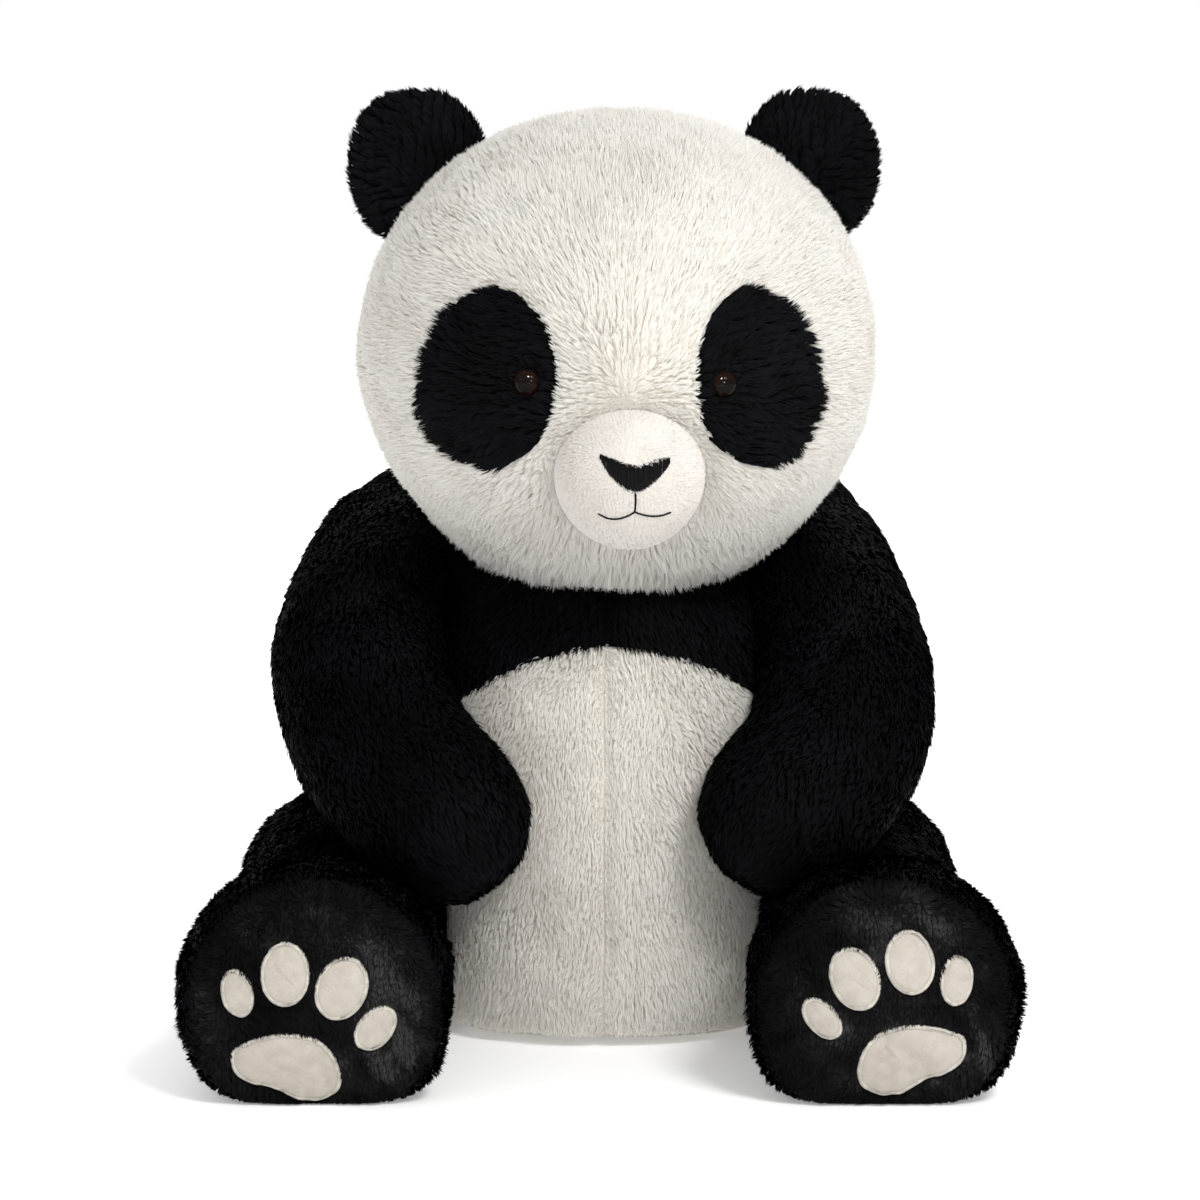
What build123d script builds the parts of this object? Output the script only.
from build123d import *
import os
from math import sin, cos, radians, sqrt

os.makedirs("parts", exist_ok=True)

# Seated plush panda, millimetres. +Z up, the face looks along -Y, the animal's left is +X.
# Origin: centre of the seat on the ground plane.
# Every soft form is a sewn cover (backing plus the dense foot of the pile) around fibre fill.
# Limbs are drawn on the left (+X) and mirrored.

SIDES = (("left", 1), ("right", -1))

# ---------------------------------------------------------------- driving dimensions
COVER = 5.0            # cover thickness, backing and pile foot
FILL_GAP = 0.8         # slack between a cover and its fill
FILL_INSET = COVER + FILL_GAP
SEAM = 0.6             # width of a seam line between two panels
RUN = 4.0              # clearance between a limb and the hollow it lies in

TORSO_Y = -15.0        # torso axis
TORSO_PROFILE = [      # radius, height
    (110.0, 0.0), (137.0, 22.0), (150.0, 60.0), (153.0, 105.0), (148.0, 160.0),
    (133.0, 215.0), (113.0, 262.0), (92.0, 302.0), (72.0, 334.0), (44.0, 356.0),
]
TORSO_BASE_INSET = 0.9  # share of an inset taken off the base radius
YOKE_Z = 246.0         # lower edge of the black shoulder band
SIDE_SEAM_Y = -8.0     # belly and back panels meet here
SEAT_Z = 12.0          # the seat panel reaches this height

HEAD_C = (9.0, -58.0, 456.0)
HEAD_A = 174.0         # half width
HEAD_R = 160.0         # half depth and half height
HEAD_TURN = 2.2        # degrees, the head rests turned slightly to the animal's left
HEAD_SWEEP = 6.0       # room left under the head for its turning
HEAD_SEAM_Y = 20.0     # face and back panels meet here, from the head's centre
NECK_C = (4.0, -40.0, 326.0)
NECK_R = 46.0
NECK_RUN = 1.0
NOD = 6.0              # degrees each way

MUZZLE_R, MUZZLE_T = 47.5, 3.5
MUZZLE_C = (3.0, -130.0, -74.0)     # from the head's centre, before its turn
# embroidery outlines: x, z from the muzzle's centre
NOSE = [
    (-21.5, 16.0), (-11.0, 15.2), (0.0, 12.0), (11.0, 15.2), (21.5, 16.0),
    (15.5, 7.5), (7.5, 1.0), (0.0, -3.0), (-7.5, 1.0), (-15.5, 7.5),
]
MOUTH = [(0.0, -17.5), (-7.0, -21.5), (-15.5, -22.5), (-23.5, -19.0)]
PHILTRUM_Z, PHILTRUM_H = -11.0, 14.6
STRAND_W = 1.8         # width of the mouth's lines
THREAD_T = 1.2         # thickness of the embroidery
THREAD_GAP = 0.1       # between the muzzle and the embroidery
THREAD_CUT_Y = -240.0  # the embroidery's outlines are cut as far as this

EYE_X, EYE_Z = 64.0, -11.0          # from the head's centre
EYE_R, EYE_H = 8.5, 6.5
EYE_LIFT = 0.6         # underside of the eye's dome above the head's surface
SHANK_R, SHANK_L = 2.4, 16.0
SHANK_TOP = 1.0        # the shank runs this far up into the dome
SHANK_RUN = 0.3        # clearance round the shank in the eye patch
WASHER_R, WASHER_T = 9.5, 2.0
WASHER_BORE_RUN = 0.15
WASHER_GAP = 0.8       # room round the washer
WASHER_Z = -FILL_INSET - WASHER_T / 2 - WASHER_GAP
PATCH_C = (88.5, -9.5)              # x, z from the head's centre
PATCH_A, PATCH_B, PATCH_TILT = 43.0, 58.5, 7.0
PATCH_CUT_Y = -220.0   # the patches are cut through the face as far as this

EAR_C = (132.0, 22.0, 126.0)        # from the head's centre
EAR_R, EAR_T = 47.0, 14.0           # outline radius, half thickness
EAR_COVER = 4.0
EAR_RUN = 5.0

ARM_PATH = [           # x, y, z from shoulder to paw
    (143, 28, 280), (157, -20, 267), (164, -66, 243),
    (160, -112, 217), (141, -152, 193), (108, -186, 169),
]
ARM_R = [55, 58, 60, 60, 58, 54.5]
# the inner and outer panels meet along this plane, which follows the arm forwards and down
ARM_SEAM = Plane(origin=(158, -60, 245), x_dir=(0.08, -0.86, -0.5), z_dir=(0.92, 0.24, 0.30))

HIP = (142.0, -15.0, 78.0)
LEG_PATH = [           # x, y, z from hip to ankle
    HIP, (158, -72, 77), (167, -122, 72), (179, -178, 66), (181, -232, 69), (181, -278, 75),
]
LEG_RX = [76, 73, 69, 66, 74, 82]
LEG_RZ = [76, 73, 67, 62, 67, 74]
LEG_SEAM_Z = 74.0      # upper and lower panels meet here
LEG_OPENING = 0.5      # the void breaks out this far past the leg's open end
LEG_HOLLOW = 30.0      # the body's hollow for the leg runs this far past the leg's end
SOLE_Y = -312.0
SOLE_RX, SOLE_RZ = 80.0, 72.0
SOLE_C = (181.0, 76.0)              # x, z
SOLE_T = 5.0
SOLE_EDGE_R = 2.4
SOLE_BULGE = 2.0       # swell of the leg just behind the sole
SOLE_BACK = SOLE_Y - SEAM
SOLE_FRONT = SOLE_BACK - SOLE_T

# pads on a sole, from its centre: outwards, up, half length, half width,
# lean of the long axis from upright (inwards at the top is positive)
TOES = {
    "left": [
        (43.5, 8.5, 14.6, 9.7, -2.0), (14.0, 21.0, 19.0, 14.2, 12.0),
        (-20.0, 11.0, 19.0, 14.2, 22.0), (-40.0, -15.0, 14.2, 8.9, 40.0),
    ],
    "right": [
        (47.0, 0.0, 14.2, 9.5, -9.0), (16.5, 13.5, 19.0, 14.4, 5.0),
        (-18.5, 5.0, 19.3, 14.8, 22.0), (-39.0, -21.5, 15.0, 10.2, 36.0),
    ],
}
MAIN_PAD = [           # outwards, up from the sole's centre
    (48.1, -42.5), (37.4, -50.6), (28.3, -54.1), (22.6, -57.2), (17.3, -61.3), (9.4, -65.3),
    (-1.3, -66.2), (-11.9, -62.0), (-16.0, -53.0), (-15.5, -42.5), (-11.9, -33.1), (-5.7, -26.1),
    (2.2, -22.3), (9.8, -19.9), (17.9, -19.3), (26.5, -20.4), (36.7, -23.3), (48.2, -29.6),
]
MAIN_SHIFT = {"left": (0.0, 0.0), "right": (1.0, -1.5)}
MAIN_TURN = {"left": 0.0, "right": -6.0}
PAD_T, RIM_W, RIM_T = 1.6, 1.4, 2.2
PAD_GAP = 0.1          # between a pad and its rim
PAD_LIFT = 0.05        # between the sole and its pads
PAD_BACK = SOLE_FRONT - PAD_LIFT

TAIL_R = 27.0
TAIL_C = (0.0, 169.0, 64.0)
TAIL_COVER = 4.0

STITCHES = 11
STITCH_Z, STITCH_PITCH = 128.0, 7.5  # lowest stitch, step upwards
STITCH_R, STITCH_L = 0.5, 7.0
STITCH_LIFT = 2.4      # stitch axis behind the torso's straight-line profile

BIG = 1200.0           # edge of a box standing for a half space


# ---------------------------------------------------------------- helpers
def put(node, *shapes):
    """Writes the shapes' solids to one STEP file, leaving out slivers."""
    solids = [s for shape in shapes for s in shape.solids() if s.volume > 1.0]
    piece = solids[0] if len(solids) == 1 else Compound(children=solids)
    export_step(piece, f"parts/{node}.step")


def spheroid(half_length, radius):
    """Ellipsoid of revolution about X."""
    arc = EllipticalCenterArc((0, 0), half_length, radius, start_angle=0, arc_size=180)
    axis_line = Line((-half_length, 0), (half_length, 0))
    return revolve(make_face([arc, axis_line]), Axis.X, 360)


def ball(centre, radius):
    return Pos(*centre) * Sphere(radius)


def largest(shape):
    return max(shape.solids(), key=lambda s: s.volume)


def on_side(shape, sx):
    """The left-hand shape itself, or its mirror image for the right."""
    return shape if sx > 0 else shape.mirror(Plane.YZ)


def keep_side(shape, axis, sign, at):
    """The part of shape beyond at, in the direction of sign, less half a seam."""
    centre = [0.0, 0.0, 300.0]
    centre["XYZ".index(axis)] = at + sign * SEAM / 2 + sign * BIG / 2
    return shape & (Pos(*centre) * Box(BIG, BIG, BIG))


def prism_y(face, y_back, y_front):
    """Extrudes a sketch drawn as (x, z) forwards from y_back to y_front."""
    at = Plane(origin=(0, y_back, 0), x_dir=(1, 0, 0), z_dir=(0, -1, 0))
    return extrude(at * face, amount=y_back - y_front)


def offset_left(points, distance, closed=False):
    """Moves each point to the left of the line's direction of travel."""
    last = len(points) - 1
    out = []
    for i, (u, v) in enumerate(points):
        before = points[i - 1] if closed else points[max(0, i - 1)]
        after = points[(i + 1) % len(points)] if closed else points[min(last, i + 1)]
        du, dv = after[0] - before[0], after[1] - before[1]
        length = sqrt(du * du + dv * dv)
        out.append((u - dv / length * distance, v + du / length * distance))
    return out


def catmull(rows, t):
    """Catmull-Rom interpolation of every column, t running from 0 to 1."""
    n = len(rows) - 1
    i = min(int(t * n), n - 1)
    u = t * n - i
    near = [rows[max(0, min(n, i + k))] for k in (-1, 0, 1, 2)]
    return tuple(
        0.5 * (2 * b + (c - a) * u + (2 * a - 5 * b + 4 * c - d) * u * u
               + (3 * b - a - 3 * c + d) * u ** 3)
        for a, b, c, d in zip(*near)
    )


def limb(path, half_widths, half_heights, extra, end_y=None, steps=9):
    """A tapering soft tube, its radii grown by extra, with a ball at its root.

    It ends in a ball, or with end_y in the sole's outline at that y.
    """
    table = [(*p, a, b) for p, a, b in zip(path, half_widths, half_heights)]
    rows = [catmull(table, k / steps) for k in range(steps + 1)]
    centres = [Vector(*row[:3]) for row in rows]
    sizes = [(row[3] + extra, row[4] + extra) for row in rows]
    tangents = [
        (centres[min(steps, k + 1)] - centres[max(0, k - 1)]).normalized()
        for k in range(steps + 1)
    ]

    def section(centre, direction, a, b):
        x_dir = direction.cross(Vector(0, 0, 1)).normalized()
        at = Plane(origin=centre, x_dir=x_dir, z_dir=direction)
        return at * (Ellipse(a, b) if abs(a - b) > 1e-6 else Circle(a))

    def cap(k, sign, angles):
        a, b = sizes[k]
        return [
            section(centres[k] + tangents[k] * (sign * a * sin(radians(angle))), tangents[k],
                    a * cos(radians(angle)), b * cos(radians(angle)))
            for angle in angles
        ]

    sections = cap(0, -1, (80, 62, 40, 18))
    sections += [section(c, t, a, b) for c, t, (a, b) in zip(centres, tangents, sizes)]
    if end_y is None:
        sections += cap(steps, 1, (18, 40, 62, 80))
    else:
        forward = Vector(0, -1, 0)
        end = Vector(SOLE_C[0], end_y, SOLE_C[1])
        end_a, end_b = SOLE_RX + extra, SOLE_RZ + extra
        a, b = sizes[-1]
        middle = (centres[-1] + end) * 0.5 + Vector(0, -2, 0)
        sections.append(section(middle, forward,
                                (a + end_a) / 2 + SOLE_BULGE, (b + end_b) / 2 + SOLE_BULGE))
        sections.append(section(end, forward, end_a, end_b))
    return loft(sections)


def arm(extra):
    return limb(ARM_PATH, ARM_R, ARM_R, extra)


def leg(extra, end_y):
    return limb(LEG_PATH, LEG_RX, LEG_RZ, extra, end_y)


# ---------------------------------------------------------------- arms
def build_arms():
    cover = arm(0.0) - arm(-COVER)

    def seam_block(sign):
        return ARM_SEAM * (Pos(0, 0, sign * (SEAM / 2 + 300)) * Box(900, 900, 600))

    pieces = {
        "outer_panel": cover & seam_block(1),
        "inner_panel": cover & seam_block(-1),
        "stuffing": arm(-FILL_INSET),
    }
    for side, sx in SIDES:
        for name, piece in pieces.items():
            put(f"arm_{side}_{name}", on_side(piece, sx))


# ---------------------------------------------------------------- legs and soles
def build_legs():
    cover = leg(0.0, SOLE_Y) - leg(-COVER, SOLE_Y - LEG_OPENING)
    pieces = {
        "upper_panel": keep_side(cover, "Z", 1, LEG_SEAM_Z),
        "lower_panel": keep_side(cover, "Z", -1, LEG_SEAM_Z),
        "stuffing": leg(-FILL_INSET, SOLE_Y + FILL_GAP),
    }
    sole = prism_y(Pos(*SOLE_C) * Ellipse(SOLE_RX, SOLE_RZ), SOLE_BACK, SOLE_FRONT)
    sole = fillet(sole.edges().group_by(Axis.Y)[0], SOLE_EDGE_R)
    for side, sx in SIDES:
        for name, piece in pieces.items():
            put(f"leg_{side}_{name}", on_side(piece, sx))
        put(f"foot_sole_{side}", on_side(sole, sx))


def toe_pad(row, grow=0.0):
    out, up, half_length, half_width, lean = row
    outline = Ellipse(half_width + grow, half_length + grow)
    return Pos(SOLE_C[0] + out, SOLE_C[1] + up) * Rot(0, 0, lean) * outline


def main_pad(side, grow=0.0):
    """The big pad, turned about the mean of its points, shifted, and drawn out by grow."""
    turn = radians(MAIN_TURN[side])
    shift_u, shift_v = MAIN_SHIFT[side]
    mean_u, mean_v = (sum(column) / len(MAIN_PAD) for column in zip(*MAIN_PAD))
    points = []
    for u, v in MAIN_PAD:
        du, dv = u - mean_u, v - mean_v
        points.append((
            SOLE_C[0] + mean_u + du * cos(turn) - dv * sin(turn) + shift_u,
            SOLE_C[1] + mean_v + du * sin(turn) + dv * cos(turn) + shift_v,
        ))
    return make_face(Spline(*offset_left(points, grow, closed=True), periodic=True))


def pad_body(face):
    return prism_y(face, PAD_BACK, PAD_BACK - PAD_T)


def pad_rim(outer, inner):
    cutter = prism_y(inner, SOLE_FRONT + 1, SOLE_FRONT - 6)
    return prism_y(outer, PAD_BACK, PAD_BACK - RIM_T) - cutter


def build_pads():
    inset = -RIM_W - PAD_GAP
    for side, sx in SIDES:
        toes = [pad_body(toe_pad(row, inset)) for row in TOES[side]]
        rims = [pad_rim(toe_pad(row), toe_pad(row, -RIM_W)) for row in TOES[side]]
        rims.append(pad_rim(main_pad(side), main_pad(side, -RIM_W)))
        put(f"toe_pads_{side}", *[on_side(toe, sx) for toe in toes])
        put(f"main_pad_{side}", on_side(pad_body(main_pad(side, inset)), sx))
        put(f"pad_edge_stitching_{side}", *[on_side(rim, sx) for rim in rims])


# ---------------------------------------------------------------- body
def torso(inset):
    """The pear-shaped body, drawn in by inset on every side."""
    points = offset_left(TORSO_PROFILE, inset)
    points[0] = (TORSO_PROFILE[0][0] - inset * TORSO_BASE_INSET, inset)
    bottom, top = (0, points[0][1]), (0, points[-1][1])
    face = make_face([
        Line(bottom, points[0]), Spline(*points), Line(points[-1], top), Line(top, bottom),
    ])
    return Pos(0, TORSO_Y, 0) * revolve(Plane.XZ * face, Axis.Z, 360)


def leg_wall(grow):
    """Upright-walled room below the leg's widest line, so the leg can swing down and out."""
    below = 20.0       # depth of the room under the ground plane
    far_x = 400
    edge = [(HIP[0] - LEG_RX[0] * 0.98 - RUN - grow, HIP[1] + 8.0)]
    for (x, y, _), radius in zip(LEG_PATH[1:], LEG_RX[1:]):
        edge.append((x - radius - RUN - grow - 1.0, y))
    outline = Polyline(*edge, (far_x, edge[-1][1]), (far_x, edge[0][1]), edge[0])
    wall = extrude(Plane.XY * make_face(outline), amount=HIP[2] + below)
    return Pos(0, 0, -below) * wall


def hollows(grow):
    """The room the limbs, the head and the neck need, drawn out by grow."""
    out = []
    for shape in (arm(RUN + grow), leg(RUN + grow, SOLE_Y - LEG_HOLLOW), leg_wall(grow)):
        out += [on_side(shape, sx) for _, sx in SIDES]
    room = HEAD_SWEEP + grow
    for nod in (-NOD, 0.0, NOD):
        about_neck = Pos(*NECK_C) * Rot(nod, 0, 0) * Pos(*[-c for c in NECK_C])
        out.append(about_neck * Pos(*HEAD_C) * spheroid(HEAD_A + room, HEAD_R + room))
    out.append(ball(NECK_C, NECK_R + NECK_RUN + grow))
    return out


def carved_torso(inset):
    shape = torso(inset)
    for tool in hollows(inset):
        shape = shape - tool
    return largest(shape)


def build_body():
    cover = carved_torso(0.0) - carved_torso(COVER)
    upper = keep_side(cover, "Z", 1, SEAT_Z)
    yoke = keep_side(upper, "Z", 1, YOKE_Z)
    lower = keep_side(upper, "Z", -1, YOKE_Z)
    belly = keep_side(lower, "Y", -1, SIDE_SEAM_Y)
    back = keep_side(lower, "Y", 1, SIDE_SEAM_Y)
    for side, sx in SIDES:
        put(f"belly_panel_{side}", keep_side(belly, "X", sx, 0.0))
        put(f"back_panel_{side}", keep_side(back, "X", sx, 0.0))
    put("chest_yoke_front", keep_side(yoke, "Y", -1, SIDE_SEAM_Y))
    put("chest_yoke_back", keep_side(yoke, "Y", 1, SIDE_SEAM_Y))
    put("seat_panel", keep_side(cover, "Z", -1, SEAT_Z))
    put("body_stuffing", carved_torso(FILL_INSET))


def torso_radius(z):
    """Radius at height z, by straight lines between the profile's points."""
    for (r0, z0), (r1, z1) in zip(TORSO_PROFILE, TORSO_PROFILE[1:]):
        if z0 <= z <= z1:
            return r0 + (r1 - r0) * (z - z0) / (z1 - z0)


def build_stitches():
    """A column of crosswise threads up the middle of the back."""
    threads = []
    for k in range(STITCHES):
        z = STITCH_Z + STITCH_PITCH * k
        y = TORSO_Y + torso_radius(z) + STITCH_LIFT
        threads.append(Pos(0, y, z) * Rot(0, 90, 0) * Cylinder(STITCH_R, STITCH_L))
    put("closing_stitches", *threads)


# ---------------------------------------------------------------- tail and neck
def build_stuffed_ball(name, centre, radius, cover):
    put(f"{name}_cover", ball(centre, radius) - ball(centre, radius - cover))
    put(f"{name}_stuffing", ball(centre, radius - cover - FILL_GAP))


# ---------------------------------------------------------------- head
# drawn about the head's own centre, then set in place by turned
turned = Pos(*HEAD_C) * Rot(0, 0, HEAD_TURN)
skull_void = spheroid(HEAD_A - COVER, HEAD_R - COVER)


def neck_socket():
    """The neck's ball with its clearance, in the head's own frame."""
    turn = radians(HEAD_TURN)
    dx, dy, dz = (n - h for n, h in zip(NECK_C, HEAD_C))
    centre = (dx * cos(turn) + dy * sin(turn), -dx * sin(turn) + dy * cos(turn), dz)
    return ball(centre, NECK_R + NECK_RUN)


def patch_prism(sx, grow=0.0):
    outline = Ellipse(PATCH_A + grow, PATCH_B + grow)
    face = Pos(sx * PATCH_C[0], PATCH_C[1]) * Rot(0, 0, sx * PATCH_TILT) * outline
    return prism_y(face, 0, PATCH_CUT_Y)


def eye_frame(sx):
    """On the head's surface at the eye, its Z axis along the shank and outwards."""
    x, z = sx * EYE_X, EYE_Z
    y = -HEAD_R * sqrt(1 - (x / HEAD_A) ** 2 - (z / HEAD_R) ** 2)
    normal = Vector(x / HEAD_A ** 2, y / HEAD_R ** 2, z / HEAD_R ** 2).normalized()
    return Plane(origin=(x, y, z), z_dir=normal)


def build_head_cover():
    """Face panels, back panels and eye patches."""
    cover = HEAD_COVER = spheroid(HEAD_A, HEAD_R) - skull_void - neck_socket()
    cover = cover - ball(MUZZLE_C, MUZZLE_R + SEAM)
    face = keep_side(cover, "Y", -1, HEAD_SEAM_Y)
    back = keep_side(cover, "Y", 1, HEAD_SEAM_Y)
    for side, sx in SIDES:
        panel = keep_side(face, "X", sx, 0.0) - patch_prism(sx, SEAM)
        put(f"face_panel_{side}", turned * panel)
        put(f"head_back_panel_{side}", turned * keep_side(back, "X", sx, 0.0))
        bore = eye_frame(sx) * Pos(0, 0, -20) * Cylinder(SHANK_R + SHANK_RUN, 60)
        put(f"eye_patch_{side}", turned * ((cover & patch_prism(sx)) - bore))


def build_eyes():
    dome = Pos(0, 0, EYE_LIFT) * scale(Sphere(EYE_R), by=(1, 1, EYE_H / EYE_R))
    dome = dome & Pos(0, 0, EYE_LIFT + 50) * Box(60, 60, 100)
    length = SHANK_L + SHANK_TOP
    shank = Pos(0, 0, SHANK_TOP - length / 2) * Cylinder(SHANK_R, length)
    bore = Cylinder(SHANK_R + WASHER_BORE_RUN, WASHER_T + 2)
    washer = Pos(0, 0, WASHER_Z) * (Cylinder(WASHER_R, WASHER_T) - bore)
    for side, sx in SIDES:
        at = eye_frame(sx)
        put(f"eye_{side}", turned * (at * (dome + shank)))
        put(f"eye_washer_{side}", turned * (at * washer))


def build_head_stuffing():
    half_width, radius = HEAD_A - FILL_INSET, HEAD_R - FILL_INSET
    stuffing = scale(Sphere(1.0), by=(half_width, radius, radius)) - neck_socket()
    for _, sx in SIDES:
        pocket = Cylinder(WASHER_R + WASHER_GAP, 2 * (abs(WASHER_Z) + 2))
        stuffing = stuffing - eye_frame(sx) * Pos(0, 0, WASHER_Z) * pocket
    put("head_stuffing", turned * largest(stuffing))


def build_muzzle():
    cover = ball(MUZZLE_C, MUZZLE_R) - ball(MUZZLE_C, MUZZLE_R - MUZZLE_T) - skull_void
    put("muzzle_cover", turned * largest(cover))
    fill = ball(MUZZLE_C, MUZZLE_R - MUZZLE_T - FILL_GAP) - skull_void
    put("muzzle_stuffing", turned * largest(fill))


def strand(points, width):
    """A strip along a curve drawn as (x, z)."""
    left = offset_left(points, width / 2)
    right = offset_left(points, -width / 2)
    return make_face([
        Spline(*left), Line(left[-1], right[-1]), Spline(*right[::-1]), Line(right[0], left[0]),
    ])


def build_embroidery():
    inner_r = MUZZLE_R + THREAD_GAP
    skin = ball(MUZZLE_C, inner_r + THREAD_T) - ball(MUZZLE_C, inner_r)

    def sewn(face):
        placed = Pos(MUZZLE_C[0], MUZZLE_C[2]) * face
        return skin & prism_y(placed, MUZZLE_C[1], THREAD_CUT_Y)

    put("nose_embroidery", turned * sewn(make_face(Spline(*NOSE, periodic=True))))
    mouth = sewn(Pos(0, PHILTRUM_Z) * Rectangle(STRAND_W, PHILTRUM_H))
    for _, sx in SIDES:
        mouth = mouth + sewn(strand([(sx * x, z) for x, z in MOUTH], STRAND_W))
    put("mouth_embroidery", turned * mouth)


# ---------------------------------------------------------------- ears
def ear_disc(centre, inset):
    """A flattened ball, cut back clear of the head."""
    disc = scale(Sphere(1.0), by=(EAR_R - inset, EAR_T - inset, EAR_R - inset))
    room = EAR_RUN + inset
    return (Pos(*centre) * disc) - spheroid(HEAD_A + room, HEAD_R + room)


def build_ears():
    for side, sx in SIDES:
        centre = (sx * EAR_C[0], EAR_C[1], EAR_C[2])
        cover = ear_disc(centre, 0.0) - ear_disc(centre, EAR_COVER)
        put(f"ear_{side}_front", turned * keep_side(cover, "Y", -1, centre[1]))
        put(f"ear_{side}_back", turned * keep_side(cover, "Y", 1, centre[1]))
        put(f"ear_{side}_filling", turned * ear_disc(centre, EAR_COVER + FILL_GAP))


build_arms()
build_legs()
build_pads()
build_body()
build_stitches()
build_stuffed_ball("tail", TAIL_C, TAIL_R, TAIL_COVER)
build_stuffed_ball("neck", NECK_C, NECK_R, COVER)
build_head_cover()
build_eyes()
build_head_stuffing()
build_muzzle()
build_embroidery()
build_ears()
